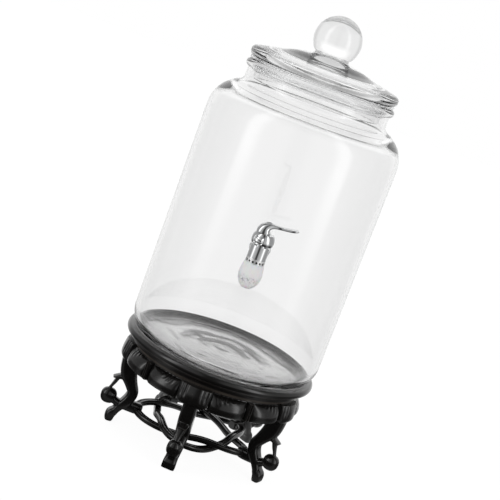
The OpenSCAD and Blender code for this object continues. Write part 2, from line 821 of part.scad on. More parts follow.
module plug_orings() {
    color([0.1, 0.1, 0.1])
    for (z = [plug_z + oring_at, plug_top_z - oring_at])
        translate([0, tap_y, z])
        rotate_extrude()
        translate([valve_r - oring_r, 0])
        circle(r = oring_r, $fn = 24);
}

// side view of the blade: it springs from the hub in a hollow curve and rises to its tip
module blade_side() {
    z0 = hub_h - blade_drop;
    difference() {
        polygon([
            [0, hub_h * 0.35], [hub_r + blade_hollow, hub_h * 0.35], [hub_r + blade_hollow, z0 + blade_rise * 0.5],
            [lever_l, z0 + blade_rise], [lever_l, z0 + blade_rise + lever_t],
            [hub_r, z0 + lever_t + blade_rise * 0.35], [0, hub_h]
        ]);
        translate([hub_r + blade_hollow - 0.5, z0 + blade_rise * 0.3 - blade_hollow]) circle(r = blade_hollow);
        translate([hub_r + blade_hollow - 0.5, -hub_h]) square([blade_hollow, hub_h + z0 - blade_hollow]);
    }
}

module blade_plan() {
    translate([lever_l - lever_w / 2, 0]) circle(r = lever_w / 2);
    polygon([
        [0, -lever_w * 0.36], [lever_l - lever_w / 2, -lever_w / 2],
        [lever_l - lever_w / 2, lever_w / 2], [0, lever_w * 0.36]
    ]);
}

module tap_lever() {
    color(chrome)
    translate([0, tap_y, hub_z])
    difference() {
        union() {
            rotate_extrude()
            intersection() {
                union() {
                    square([hub_r - hub_round, hub_h]);
                    square([hub_r, hub_h - hub_round]);
                    translate([hub_r - hub_round, hub_h - hub_round]) circle(r = hub_round);
                }
                square([hub_r, hub_h]);
            }
            intersection() {
                rotate([90, 0, 0]) linear_extrude(lever_w, center = true) blade_side();
                linear_extrude(2 * hub_h) blade_plan();
            }
        }
        translate([-drive_w / 2 - fit, -drive_w / 2 - fit, -1])
        cube([drive_w + 2 * fit, drive_w + 2 * fit, drive_top_z - hub_z + 1 + fit]);
        translate([0, 0, hub_h - screw_sink]) cylinder(r = screw_head_r + fit, h = hub_h);
        cylinder(r = screw_r + fit, h = hub_h);
    }
}

module lever_screw() {
    color(chrome)
    translate([0, tap_y, hub_top_z - screw_sink + rest])
    difference() {
        union() {
            cylinder(r = screw_head_r, h = screw_sink - 0.6);
            translate([0, 0, -screw_l + 1]) cylinder(r = screw_r, h = screw_l);
        }
        translate([-screw_head_r, -0.4, screw_sink - 1.5]) cube([2 * screw_head_r, 0.8, screw_sink]);
    }
}

module outlet_nozzle() {
    color([0.83, 0.83, 0.83])
    translate([0, tap_y, nozzle_z])
    rotate_extrude()
    difference() {
        polygon([
            [0, 0], [barrel_r, 0], [nozzle_r, -nozzle_flare], [nozzle_r, nozzle_taper - nozzle_l],
            [(nozzle_r + outlet_r) / 2 + 0.4, nozzle_taper * 0.32 - nozzle_l], [outlet_r + 1.2, -nozzle_l], [0, -nozzle_l]
        ]);
        translate([0, -spigot_h]) square([spigot_r + fit, spigot_h + 1]);
        translate([0, -nozzle_l - 1]) square([outlet_r, nozzle_l]);
    }
}

stand_frame();
stand_panel();
stand_waist();
for (k = [1 : leg_n]) {
    apron(k);
    leg(k);
    stretcher(k);
}
leg_dowels();
jar();
lid();
lid_seal();
tap_body();
tap_washer_outer();
tap_washer_inner();
tap_nut();
tap_head();
valve_plug();
plug_orings();
tap_lever();
lever_screw();
outlet_nozzle();
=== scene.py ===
import bmesh
import bpy
import json
import math
from mathutils import Matrix, Vector


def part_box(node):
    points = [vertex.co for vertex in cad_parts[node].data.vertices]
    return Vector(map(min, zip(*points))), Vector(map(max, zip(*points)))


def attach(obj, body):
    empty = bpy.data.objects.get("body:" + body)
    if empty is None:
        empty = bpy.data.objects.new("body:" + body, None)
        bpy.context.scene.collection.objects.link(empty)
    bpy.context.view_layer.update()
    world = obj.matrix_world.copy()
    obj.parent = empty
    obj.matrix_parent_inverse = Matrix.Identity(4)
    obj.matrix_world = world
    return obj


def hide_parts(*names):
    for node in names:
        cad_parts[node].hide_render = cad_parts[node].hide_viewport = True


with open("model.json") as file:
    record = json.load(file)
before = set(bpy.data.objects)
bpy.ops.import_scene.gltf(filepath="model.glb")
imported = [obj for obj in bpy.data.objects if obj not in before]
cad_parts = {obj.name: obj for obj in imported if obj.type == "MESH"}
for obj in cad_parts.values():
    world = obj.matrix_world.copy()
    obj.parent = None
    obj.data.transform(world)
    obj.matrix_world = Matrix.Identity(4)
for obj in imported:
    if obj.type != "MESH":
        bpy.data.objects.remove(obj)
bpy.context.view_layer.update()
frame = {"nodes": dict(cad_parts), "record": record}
scene = bpy.context.scene
scene.view_settings.view_transform = "Standard"

# sizes in millimetres, as in the CAD model, with places from the CAD nodes' boxes
MM = 0.001
SEGMENTS = 256
SHARP_DEG = 40.0

# jar
JAR_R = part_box("jar")[1].x / MM
JAR_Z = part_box("jar")[0].z / MM
LIP_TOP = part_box("jar")[1].z / MM
WALL, FLOOR, CORNER_R, SHOULDER_R = 4.0, 4.6, 26.0, 38.0
SHOULDER_THICK = 1.9
BODY_H, NECK_R, NECK_FILLET = 263.0, 81.3, 7.0
LIP_BEAD, LIP_OVER = 4.8, 3.7
KICK_R, KICK_UP = 50.0, 2.0
TAP_HOLE_R = 8.3

# lid
LID_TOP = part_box("lid")[1].z / MM
PLUG_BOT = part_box("lid")[0].z / MM
LID_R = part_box("lid")[1].x / MM
RIM_H, DOME, CROWN_R, CROWN, LID_WALL = 12.4, 9.9, 50.0, 15.4, 5.0
PLUG_R, PLUG_H, PLUG_WALL, PLUG_EDGE, BALL_R = 72.5, 22.0, 4.5, 1.0, 26.5

# tap
HUB_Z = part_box("tap_lever")[0].z / MM
HUB_GAP, DRIVE_H = 0.3, 8.4
SCREW_HEAD_R, SCREW_R, SCREW_L, SCREW_GAP = 2.8, 1.5, 5.0, 0.15
SLOT_W, SLOT_DEEP = 0.8, 0.8
HEAD_R, HEAD_H, HEAD_MID, STEM_R = 11.9, 13.0, 0.45, 4.3
HEAD_Z = HUB_Z - HUB_GAP - HEAD_H
HEAD_BOSS_R, HEAD_BOSS_H = 6.5, 1.9
TAP_Y = (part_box("outlet_nozzle")[0].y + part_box("outlet_nozzle")[1].y) / 2 / MM
TAP_Z = (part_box("tap_nut")[0].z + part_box("tap_nut")[1].z) / 2 / MM
NOZZLE_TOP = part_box("outlet_nozzle")[1].z / MM
NOZZLE_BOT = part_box("outlet_nozzle")[0].z / MM
NOZZLE_R, BARREL_R, OUTLET_R, SPIGOT_R, SPIGOT_H = 12.2, 10.0, 3.6, 7.1, 8.0
OUTLET_WALL = 1.2
SATIN_H = 5.0

# stand
FRAME_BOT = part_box("stand_frame")[0].z / MM
SEAT_Z, BOARD_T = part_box("stand_panel")[1].z / MM, 6.0
FRAME_IN_R, LEDGE_IN_R, RIM_GAP = 98.23, 90.23, 0.6
NOSE_R, NOSE_TALL, COVE_R, BEAD_R = 3.5, 1.25, 6.0, 0.75
NOSE_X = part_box("stand_frame")[1].x / MM - NOSE_R
NOSE_Z, COVE_TOP = FRAME_BOT + 11.2, FRAME_BOT + COVE_R
LEGS, LEG_TURN = 5, -6.0
BACK_R, BACK_IN_R, LOBE_OUT, KNEE_OUT = 97.0, 90.3, 8.5, 10.3
LOBE_R = BACK_R + LOBE_OUT
SWELL_R, KNEE_SWELL_R, BELLY_R, BELLY_SINK = 17.0, 60.0, 7.0, 0.5
KNEE_W, KNEE_CORNER, RIB_R, RIB_GAP, RIB_LOW = 38.0, 9.0, 3.4, 1.3, 1.0
APRON_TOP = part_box("apron_1")[1].z / MM
APRON_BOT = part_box("apron_1")[0].z / MM
APRON_MID = (APRON_TOP + APRON_BOT) / 2
BELLY_Z = APRON_BOT + BELLY_R - BELLY_SINK
KNEE_DEG = math.degrees(math.asin(KNEE_W / 2 / LOBE_R))
RIB_DEG = math.degrees(math.asin((RIB_R + RIB_GAP) / LOBE_R))
LOBE_HALF = (180 / LEGS - KNEE_DEG - RIB_DEG) / 2
LOBE_DEG = KNEE_DEG + LOBE_HALF
SPUR_Z, BALL_Z, FOOT_H = 51.5, 28.0, 10.0
LEG_VOXEL, LEG_SMOOTH = 0.6, 3
STRETCHER_Z, CREST_R, SWING, PINCH, STRAND_LIFT = 22.0, LOBE_R - 36.5, 12.5, 2.8, 3.3
STRAND_W, STRAND_H, STRAND_GROOVE = 8.8, 6.8, 0.8


# camera: the photograph is tilted, so the camera is rolled
CAM_AT = Vector((0.0, -1.338, 0.508))
CAM_TO = Vector((0.0, 0.0, 0.2369))
CAM_ROLL = 20.6
SENSOR = 36.0
FOCAL_PX = 1226.0
AXIS_PX = (258.1, 253.1)
FRAME_PX = 500.0


def aimed(at, to, roll=0.0):
    """Matrix of a camera or lamp that looks from one point to another."""
    turn = (to - at).to_track_quat("-Z", "Y").to_matrix() @ Matrix.Rotation(math.radians(roll), 3, "Z")
    return Matrix.Translation(at) @ turn.to_4x4()


cam_data = bpy.data.cameras.new("camera")
cam_data.sensor_width = SENSOR
cam_data.lens = SENSOR * FOCAL_PX / FRAME_PX
cam_data.shift_x = -(AXIS_PX[0] - FRAME_PX / 2) / FRAME_PX
cam_data.shift_y = (AXIS_PX[1] - FRAME_PX / 2) / FRAME_PX
cam = bpy.data.objects.new("camera", cam_data)
scene.collection.objects.link(cam)
cam.matrix_world = aimed(CAM_AT, CAM_TO, CAM_ROLL)
scene.camera = cam


# node helpers
def grey(level):
    return (level, level, level, 1)


def add(tree, kind, inputs=(), **settings):
    """A shader node with its settings, and its inputs linked or set by name or number."""
    n = tree.nodes.new(kind)
    for k, v in settings.items():
        setattr(n, k, v)
    for k, v in dict(inputs).items():
        if isinstance(v, bpy.types.NodeSocket):
            tree.links.new(v, n.inputs[k])
        else:
            n.inputs[k].default_value = v
    return n


def ramp(tree, value, stops, kind="LINEAR"):
    """A curve of grey levels over a number from 0 to 1."""
    n = add(tree, "ShaderNodeValToRGB", {"Fac": value})
    n.color_ramp.interpolation = kind
    while len(n.color_ramp.elements) < len(stops):
        n.color_ramp.elements.new(0.5)
    for e, (at, level) in zip(n.color_ramp.elements, stops):
        e.position = at
        e.color = grey(level)
    return n.outputs["Color"]


def mixed(tree, factor, a, b, blend="MIX"):
    """Mixes two colours, each a value or a link. The node's colour sockets have the numbers 6, 7 and 2."""
    return add(tree, "ShaderNodeMix", {0: factor, 6: a, 7: b}, data_type="RGBA", blend_type=blend).outputs[2]


def math_node(tree, operation, *values):
    return add(tree, "ShaderNodeMath", dict(enumerate(values)), operation=operation).outputs[0]


def times(tree, a, b):
    return math_node(tree, "MULTIPLY", a, b)


def span(tree, value, a, b):
    """0 at a, 1 at b."""
    inputs = {"Value": value, "From Min": a, "From Max": b}
    return add(tree, "ShaderNodeMapRange", inputs, clamp=True).outputs[0]


def spot_on(tree):
    """Object coordinates, which are the frame's own."""
    return add(tree, "ShaderNodeTexCoord").outputs["Object"]


def xyz(tree, vector):
    return add(tree, "ShaderNodeSeparateXYZ", {"Vector": vector}).outputs


def joined(tree, **parts):
    return add(tree, "ShaderNodeCombineXYZ", parts).outputs[0]


def length(tree, vector):
    return add(tree, "ShaderNodeVectorMath", {0: vector}, operation="LENGTH").outputs["Value"]


def stretched(tree, scale):
    """Object coordinates stretched by three factors."""
    return add(tree, "ShaderNodeMapping", {"Vector": spot_on(tree), "Scale": scale}).outputs[0]


def noise(tree, scale, detail=3.0, rough=0.55, vector=None):
    at = spot_on(tree) if vector is None else vector
    inputs = {"Vector": at, "Scale": scale, "Detail": detail, "Roughness": rough}
    return add(tree, "ShaderNodeTexNoise", inputs).outputs["Fac"]


def bump(tree, shader, height, distance, strength):
    n = add(tree, "ShaderNodeBump", {"Height": height, "Distance": distance, "Strength": strength})
    tree.links.new(n.outputs[0], shader.inputs["Normal"])


# materials
FINE_BUMP = 0.0002
# the third colour here is painted shade, for the sunk grip dimples of the tap's barrel
CHROMIUM, SATIN, DIMPLE_SHADE = (0.55, 0.556, 0.56, 1), grey(0.8), grey(0.01)
FROSTED, FLECK = grey(0.985), grey(0.3)
WOOD_DARK, WOOD_LIGHT = (0.003, 0.0027, 0.0026, 1), (0.0068, 0.006, 0.0055, 1)
# lighter edge colour: partly wear, partly painted highlight on rounded edges
WOOD_WEAR_AND_HIGHLIGHT = (0.07, 0.058, 0.048, 1)


def material(name, **values):
    """A Principled material with plain values, its tree and its shader."""
    m = bpy.data.materials.new(name)
    m.use_nodes = True
    t = m.node_tree
    t.nodes.clear()
    b = add(t, "ShaderNodeBsdfPrincipled", {k.replace("_", " "): v for k, v in values.items()})
    add(t, "ShaderNodeOutputMaterial", {"Surface": b.outputs[0]}, name="Material Output")
    return m, t, b


def glass_material():
    """Clear glass with long faint ripples, and with swirls in the jar's floor."""
    m, t, b = material("clear_glass", Base_Color=grey(0.98), Roughness=0.0, IOR=1.5, Transmission_Weight=1.0)
    at = spot_on(t)
    low = span(t, xyz(t, at)["Z"], (JAR_Z + FLOOR + 5) * MM, (JAR_Z + FLOOR + 0.5) * MM)
    rings = {"Vector": at, "Scale": 11.0, "Distortion": 9.0, "Detail": 2.0, "Detail Scale": 1.2}
    swirl = add(t, "ShaderNodeTexWave", rings, wave_type="RINGS", rings_direction="Z").outputs["Fac"]
    ripple = noise(t, 9.0, 1.0, vector=stretched(t, (1, 1, 0.35)))
    bump(t, b, math_node(t, "MULTIPLY_ADD", ripple, 0.1, times(t, swirl, low)), 0.0006, 0.6)
    body = add(t, "ShaderNodeVolumeAbsorption", {"Color": (0.8, 0.803, 0.803, 1), "Density": 11.0})
    t.links.new(body.outputs[0], t.nodes["Material Output"].inputs["Volume"])
    return m


def wood_material(name, **polish):
    """Black wood with an upright grain, turning marks on the round frame, and edges coloured lighter, partly
    as wear and partly as painted highlight.
    """
    m, t, b = material(name, **polish)
    part = xyz(t, spot_on(t))
    out = length(t, joined(t, X=part["X"], Y=part["Y"]))
    across = joined(t, X=times(t, out, 900.0), Y=times(t, part["Z"], 900.0), Z=times(t, part["X"], 14.0))
    high = span(t, part["Z"], (APRON_TOP + 1) * MM, (APRON_TOP + 4) * MM)
    ring = times(t, high, span(t, out, BACK_R * MM, (BACK_R + 2) * MM))
    turned = times(t, noise(t, 1.0, 2.0, vector=across), ring)
    grain = noise(t, 5.0, 5.0, 0.6, stretched(t, (60, 60, 14)))
    edge = add(t, "ShaderNodeNewGeometry").outputs["Pointiness"]
    # convex edges coloured lighter in patches: partly wear, partly painted highlight
    wear_and_highlight = times(t, span(t, edge, 0.52, 0.6), noise(t, 35.0, 2.0))
    t.links.new(mixed(t, wear_and_highlight, mixed(t, grain, WOOD_DARK, WOOD_LIGHT), WOOD_WEAR_AND_HIGHLIGHT), b.inputs["Base Color"])
    bump(t, b, math_node(t, "ADD", turned, grain), 0.0003, 0.22)
    return m


def chrome_material(name, satin_foot=False):
    """Chromium plate. The tap's barrel has a satin foot, and its sunk grip dimples are coloured near black as
    painted shade.
    """
    m, t, b = material(name, Base_Color=CHROMIUM, Metallic=1.0, IOR=2.5)
    polish = {"Value": noise(t, 900.0, 2.0), "To Min": 0.04, "To Max": 0.09}
    soft = add(t, "ShaderNodeMapRange", polish).outputs[0]
    if satin_foot:
        part = xyz(t, spot_on(t))
        low = span(t, part["Z"], (NOZZLE_TOP + SATIN_H + 0.2) * MM, (NOZZLE_TOP + SATIN_H) * MM)
        out = length(t, joined(t, X=part["X"], Y=math_node(t, "SUBTRACT", part["Y"], TAP_Y * MM)))
        # painted shade: the sunk grip dimples are coloured near black
        sunk = times(t, low, span(t, out, (BARREL_R - 0.08) * MM, (BARREL_R - 0.3) * MM))
        t.links.new(mixed(t, sunk, mixed(t, low, CHROMIUM, SATIN), DIMPLE_SHADE), b.inputs["Base Color"])
        soft = math_node(t, "MULTIPLY_ADD", low, 0.4, soft)
    t.links.new(soft, b.inputs["Roughness"])
    bump(t, b, noise(t, 60.0, 2.0), FINE_BUMP, 0.08)
    return m


def silicone_material():
    m, t, b = material("silicone", IOR=1.06, Transmission_Weight=0.9, Roughness=0.25, Alpha=0.4)
    cloud = mixed(t, noise(t, 120.0, 2.0), (0.9, 0.905, 0.91, 1), (0.95, 0.953, 0.957, 1))
    t.links.new(cloud, b.inputs["Base Color"])
    bump(t, b, noise(t, 700.0, 2.0), FINE_BUMP, 0.15)
    return m


def frosted_material():
    """Pale frosted plastic, with dark flecks low in the nozzle."""
    m, t, b = material("frosted_plastic", IOR=1.25, Transmission_Weight=0.12, Roughness=0.4,
                       Subsurface_Weight=0.3, Subsurface_Scale=0.003)
    low = span(t, xyz(t, spot_on(t))["Z"], (NOZZLE_BOT + 16) * MM, (NOZZLE_BOT + 11) * MM)
    flecks = times(t, low, span(t, noise(t, 900.0, 1.0, 0.5), 0.55, 0.62))
    t.links.new(mixed(t, flecks, FROSTED, FLECK), b.inputs["Base Color"])
    bump(t, b, noise(t, 1300.0, 3.0), FINE_BUMP, 0.2)
    return m


def speckled(name, colour, other, rough, scale, **values):
    """A plain material with a fine mottle in colour and surface."""
    m, t, b = material(name, Roughness=rough, **values)
    spots = noise(t, scale, 3.0)
    t.links.new(mixed(t, spots, (*colour, 1), (*other, 1)), b.inputs["Base Color"])
    bump(t, b, spots, FINE_BUMP, 0.2)
    return m


MATS = {
    "clear_glass": glass_material(),
    "black_wood": wood_material("black_wood", Roughness=0.3, Coat_Weight=0.75, Coat_Roughness=0.11,
                                Coat_IOR=1.5, IOR=1.22),
    "chrome": chrome_material("chrome"),
    "silicone": silicone_material(),
    "frosted_plastic": frosted_material(),
    "plain_wood": speckled("plain_wood", (0.38, 0.25, 0.14), (0.5, 0.35, 0.2), 0.6, 90.0),
    "brass": speckled("brass", (0.62, 0.46, 0.2), (0.7, 0.54, 0.27), 0.28, 300.0, Metallic=1.0),
    "black_rubber": speckled("black_rubber", (0.015, 0.015, 0.015), (0.03, 0.03, 0.03), 0.6, 500.0),
}
# two nodes differ from their slot: the barrel with its satin foot and painted shade in its dimples, and the
# board with its mirror polish
OWN = {
    "tap_body": chrome_material("chrome_barrel", True),
    "stand_panel": wood_material("polished_board", Roughness=0.12, Coat_Weight=1.0, Coat_Roughness=0.04,
                                 Coat_IOR=2.3, IOR=1.7),
}
slots = {s["node"]: s["material_slot"] for s in frame["record"]["subparts"]}
for name, obj in frame["nodes"].items():
    obj.data.materials.clear()
    obj.data.materials.append(OWN.get(name, MATS[slots[name]]))


# mesh helpers
def step(a, b, x):
    """0 before a, 1 after b, smooth between them."""
    t = min(max((x - a) / (b - a), 0), 1)
    return t * t * (3 - 2 * t)


def arc(x, z, r, start, end, n):
    """Points of an arc, with angles in degrees."""
    angles = [math.radians(start + (end - start) * i / n) for i in range(n + 1)]
    return [(x + r * math.cos(a), z + r * math.sin(a)) for a in angles]


def straight(a, b, pitch=12.0):
    """Points between two points, without them."""
    n = max(1, int(math.dist(a, b) / pitch))
    return [(a[0] + (b[0] - a[0]) * i / n, a[1] + (b[1] - a[1]) * i / n) for i in range(1, n)]


def path(*pieces):
    """Joins arcs and points to one line, with steps on the long straights."""
    line = []
    for p in pieces:
        p = [p] if isinstance(p[0], (int, float)) else p
        if line:
            line += straight(line[-1], p[0])
        line += [q for i, q in enumerate(p) if i or not line or math.dist(line[-1], q) > 1e-4]
    return line


def soften(line, near, reach, rounds):
    """Rounds a line of points near a corner."""
    line = [Vector(p) for p in line]
    for _ in range(rounds):
        line = [p if i in (0, len(line) - 1) or (p - Vector(near)).length > reach
                else (line[i - 1] + p * 2 + line[i + 1]) / 4 for i, p in enumerate(line)]
    return [tuple(p) for p in line]


def spline(points, steps):
    """Points on a smooth curve through the given ones."""
    out = []
    last = len(points) - 1
    for i in range(last):
        a, b, c, d = points[max(i - 1, 0)], points[i], points[i + 1], points[min(i + 2, last)]
        for j in range(steps):
            t = j / steps
            out.append([0.5 * (2 * q + (r - p) * t + (2 * p - 5 * q + 4 * r - s) * t * t
                               + (3 * q - p - 3 * r + s) * t ** 3) for p, q, r, s in zip(a, b, c, d)])
    return out + [list(points[-1])]


def squircle(n, a, b, power):
    """n points of a rounded rectangle with half sizes a and b."""
    ring = []
    for i in range(n):
        t = 2 * math.pi * i / n
        c, s = math.cos(t), math.sin(t)
        ring.append((a * math.copysign(abs(c) ** (2 / power), c),
                     b * math.copysign(abs(s) ** (2 / power), s)))
    return ring


def closed_mesh(name, verts, faces, sharp=SHARP_DEG):
    m = bpy.data.meshes.new(name)
    m.from_pydata([[c * MM for c in v] for v in verts], [], faces)
    b = bmesh.new()
    b.from_mesh(m)
    bmesh.ops.recalc_face_normals(b, faces=b.faces)
    b.to_mesh(m)
    b.free()
    m.shade_smooth()
    m.set_sharp_from_angle(angle=math.radians(sharp))
    return m


def lathe(name, line, ring=False, y=0.0, n=SEGMENTS, shape=None, sharp=SHARP_DEG):
    """Turns a half section round an upright axis.

    A ring's section is a closed line. shape changes the radius by height and angle.
    """
    verts, rows, faces = [], [], []
    for r, z in line:
        if r < 1e-6:
            rows.append([len(verts)] * n)
            verts.append((0, y, z))
        else:
            rows.append(list(range(len(verts), len(verts) + n)))
            for j in range(n):
                a = 2 * math.pi * j / n
                q = shape(r, z, a) if shape else r
                verts.append((q * math.cos(a), y + q * math.sin(a), z))
    for a, b in list(zip(rows, rows[1:])) + ([(rows[-1], rows[0])] if ring else []):
        for j in range(n):
            k = (j + 1) % n
            face = tuple(dict.fromkeys((a[j], a[k], b[k], b[j])))
            if len(face) > 2:
                faces.append(face)
    return closed_mesh(name, verts, faces, sharp)


def baked(obj):
    """The mesh of an object with its modifiers. The object goes away."""
    mesh = bpy.data.meshes.new_from_object(obj.evaluated_get(bpy.context.evaluated_depsgraph_get()))
    bpy.data.objects.remove(obj)
    return mesh


class Shape:
    """Collects closed pieces in millimetres. X is outward, Y along the edge, Z up."""

    def __init__(self):
        self.verts, self.faces = [], []

    def loft(self, rings):
        """Skin over rings of equally many points, closed at both ends."""
        base, n = len(self.verts), len(rings[0])
        for ring in rings:
            self.verts += ring
        for i in range(len(rings) - 1):
            for j in range(n):
                a, b = base + i * n + j, base + i * n + (j + 1) % n
                self.faces.append((a, b, b + n, a + n))
        self.faces.append(tuple(base + j for j in reversed(range(n))))
        self.faces.append(tuple(base + (len(rings) - 1) * n + j for j in range(n)))

    def sweep(self, line, power=3.0, n=28, y=0.0):
        """A limb along a line of x, z, half thickness, half width along y and, if given, squareness."""
        rings = []
        for i, p in enumerate(line):
            a, b = line[max(i - 1, 0)], line[min(i + 1, len(line) - 1)]
            dx, dz = b[0] - a[0], b[1] - a[1]
            far = math.hypot(dx, dz)
            nx, nz = dz / far, -dx / far
            section = squircle(n, p[2], p[3], (*p, power)[4])
            rings.append([(p[0] + nx * u, y + v, p[1] + nz * u) for u, v in section])
        self.loft(rings)

    def pillow(self, centre, half, power=2.5, n=32):
        """A rounded block between a ball and a box."""
        rings = []
        for i in range(1, n):
            t = -math.pi / 2 + math.pi * i / n
            c, s = math.cos(t), math.sin(t)
            k, h = abs(c) ** (2 / power), math.copysign(abs(s) ** (2 / power), s)
            rings.append([(centre[0] + u * k, centre[1] + v * k, centre[2] + half[2] * h)
                          for u, v in squircle(n, half[0], half[1], power)])
        self.loft(rings)

    def mesh(self, name, sharp=SHARP_DEG):
        return closed_mesh(name, self.verts, self.faces, sharp)

    def melted(self, name, voxel, smooth):
        """One skin over all the pieces, softened."""
        obj = bpy.data.objects.new(name, self.mesh(name))
        scene.collection.objects.link(obj)
        melt = obj.modifiers.new("melt", "REMESH")
        melt.mode = "VOXEL"
        melt.voxel_size = voxel * MM
        even = obj.modifiers.new("even", "SMOOTH")
        even.factor = 0.5
        even.iterations = smooth
        mesh = baked(obj)
        mesh.shade_smooth()
        return mesh


def rod(r, low, high, y=0.0, n=48):
    """A plain round rod, used only as a cutter."""
    shape = Shape()
    turn = [2 * math.pi * i / n for i in range(n)]
    shape.loft([[(r * math.cos(a), y + r * math.sin(a), z) for a in turn] for z in (low, high)])
    return shape.mesh("rod")


def bar(low, high):
    """A plain bar between two corners, used only as a cutter."""
    shape = Shape()
    corners = ((low[0], low[1]), (high[0], low[1]), (high[0], high[1]), (low[0], high[1]))
    shape.loft([[(x, y, z) for x, y in corners] for z in (low[2], high[2])])
    return shape.mesh("bar")


def cut(mesh, cutter, turn=Matrix()):
    """A mesh with another one taken out of it."""
    whole, tool = bpy.data.objects.new("whole", mesh), bpy.data.objects.new("tool", cutter)
    for o in (whole, tool):
        scene.collection.objects.link(o)
    tool.matrix_world = turn
    whole.modifiers.new("cut", "BOOLEAN").object = tool
    bpy.context.view_layer.update()
    out = baked(whole)
    bpy.data.objects.remove(tool)
    out.shade_smooth()
    out.set_sharp_from_angle(angle=math.radians(SHARP_DEG))
    return out


def place(name, mesh, body, slot, *nodes, turn=0.0):
    """Puts a mesh, or a turned copy of it, into the scene as a piece that stands for some CAD nodes."""
    if turn:
        mesh = mesh.copy()
        mesh.transform(Matrix.Rotation(math.radians(turn), 4, "Z"))
    obj = bpy.data.objects.new(name, mesh)
    scene.collection.objects.link(obj)
    if not mesh.materials:
        mesh.materials.append(MATS[slot])
    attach(obj, body)
    if nodes:
        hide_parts(*nodes)


# glass jar
def jar_side(inset, bottom, thick=0.0):
    """Half section of the jar from its lower corner to the neck, drawn in by inset.

    thick is what its wall gains below the neck.
    """
    top = JAR_Z + BODY_H
    corner, shoulder = JAR_R - CORNER_R, JAR_R - SHOULDER_R
    low = CORNER_R - inset
    fillet_x = NECK_R + NECK_FILLET
    rise = math.sqrt((SHOULDER_R + NECK_FILLET) ** 2 - (fillet_x - shoulder) ** 2)
    lean = math.degrees(math.atan2(rise, fillet_x - shoulder))
    bend, steps = [], 24
    for i, (x, z) in enumerate(arc(shoulder, top, SHOULDER_R - inset, 0, lean, steps)):
        k = thick / SHOULDER_R * step(0.3, 0.85, i / steps) * (1 - 0.75 * step(0.85, 1.0, i / steps))
        bend.append((x - (x - shoulder) * k, z - (z - top) * k))
    fillet = arc(fillet_x, top + rise, NECK_FILLET + inset, lean + 180, 180, 8)
    return path(arc(corner, bottom + low, low, -90, 0, 16), bend, fillet)


def jar_mesh():
    lip_x, lip_z = NECK_R + LIP_OVER - LIP_BEAD, LIP_TOP - LIP_BEAD
    low = -math.degrees(math.acos((NECK_R - lip_x) / LIP_BEAD))
    high = math.degrees(math.acos((NECK_R - WALL - lip_x) / LIP_BEAD))
    kick = [(KICK_R * i / 12, JAR_Z + KICK_UP * (1 - (i / 12) ** 2)) for i in range(13)]
    inside = list(reversed(jar_side(WALL, JAR_Z + FLOOR, SHOULDER_THICK)))
    lip = arc(lip_x, lip_z, LIP_BEAD, low, high, 18)
    line = path(kick, jar_side(0, JAR_Z), lip, inside, [(0, JAR_Z + FLOOR)])
    line = soften(line, (KICK_R, JAR_Z), 6, 20)
    lying = Matrix.Translation((0, 0, TAP_Z * MM)) @ Matrix.Rotation(math.radians(90), 4, "X")
    return cut(lathe("jar_glass", line), rod(TAP_HOLE_R, JAR_R - 20, JAR_R + 20, n=64), lying)


place("jar_glass", jar_mesh(), "jar", "clear_glass", "jar")


# glass lid: ball on a collar, raised middle, dome, rolled rim and hollow plug
COLLAR = [(0.9, 0.4), (1.3, -0.8), (0.9, -1.9), (1.2, -2.6)]    # out from the ball's neck, up from its end


def dome_top(r, reach, rise, foot):
    """Height of a dome at a distance from its axis."""
    big = (reach * reach + rise * rise) / (2 * rise)
    return foot + rise - big + math.sqrt(big * big - r * r)


def lid_mesh():
    rim_r = RIM_H / 2
    rim_x = LID_R - rim_r
    rim_bot = PLUG_BOT + PLUG_H
    rim_top = rim_bot + RIM_H
    foot = DOME * (1 - (CROWN_R / rim_x) ** 2)
    ball_z = LID_TOP - BALL_R
    plug_in = PLUG_R - PLUG_WALL

    def crown(r):
        return dome_top(r, CROWN_R, CROWN - foot, rim_top + foot)

    def outward(a, b, n, height):
        return [(r, height(r)) for r in [a + (b - a) * i / n for i in range(n + 1)]]

    def ball_under(r):
        return ball_z - math.sqrt(max(BALL_R ** 2 - r ** 2, 0))

    # the ball sinks into the crown, and comes out of it at the neck
    neck = next(r / 10 for r in range(1, 300) if ball_under(r / 10) > crown(r / 10))
    ball = arc(0, ball_z, BALL_R, 90, -math.degrees(math.acos(neck / BALL_R)) + 8, 64)
    ball[0] = (0, LID_TOP)
    collar = [(neck + out, ball[-1][1] + up) for out, up in COLLAR]
    top = outward(neck, CROWN_R, 24, crown)
    slope = outward(CROWN_R, rim_x, 20, lambda r: dome_top(r, rim_x, DOME, rim_top))
    rim = arc(rim_x, rim_bot + rim_r, rim_r, 90, -90, 20)
    plug = [(PLUG_R, PLUG_BOT + PLUG_EDGE), (PLUG_R - PLUG_EDGE, PLUG_BOT),
            (plug_in + PLUG_EDGE, PLUG_BOT), (plug_in, PLUG_BOT + PLUG_EDGE)]
    hollow = DOME * (plug_in / rim_x) ** 2
    inner = outward(plug_in, 0, 24, lambda r: dome_top(r, plug_in, hollow, rim_top - LID_WALL))
    line = path(ball, collar, top[1:], slope, rim, (PLUG_R, rim_bot), *plug, inner)
    line = soften(line, (neck, crown(neck) - 2), 5, 1)
    line = soften(line, (CROWN_R, crown(CROWN_R)), 6, 10)
    line = soften(line, (plug_in, rim_top - LID_WALL), 4, 6)
    return lathe("lid_glass", line)


place("lid_glass", lid_mesh(), "lid", "clear_glass", "lid")


# head of the tap: a ball on a narrow neck, with a framed panel on its front
HEAD_UNDER = [(6.6, 0.02), (6.6, 0.9), (7.4, 1.2), (9.2, 1.3)]    # radius, height above the barrel
HEAD_START = 1.6
PANEL_DEG, PANEL_UP, PANEL_W, PANEL_H, PANEL_DEEP = 113, 0.48, 4.6, 3.4, 0.75


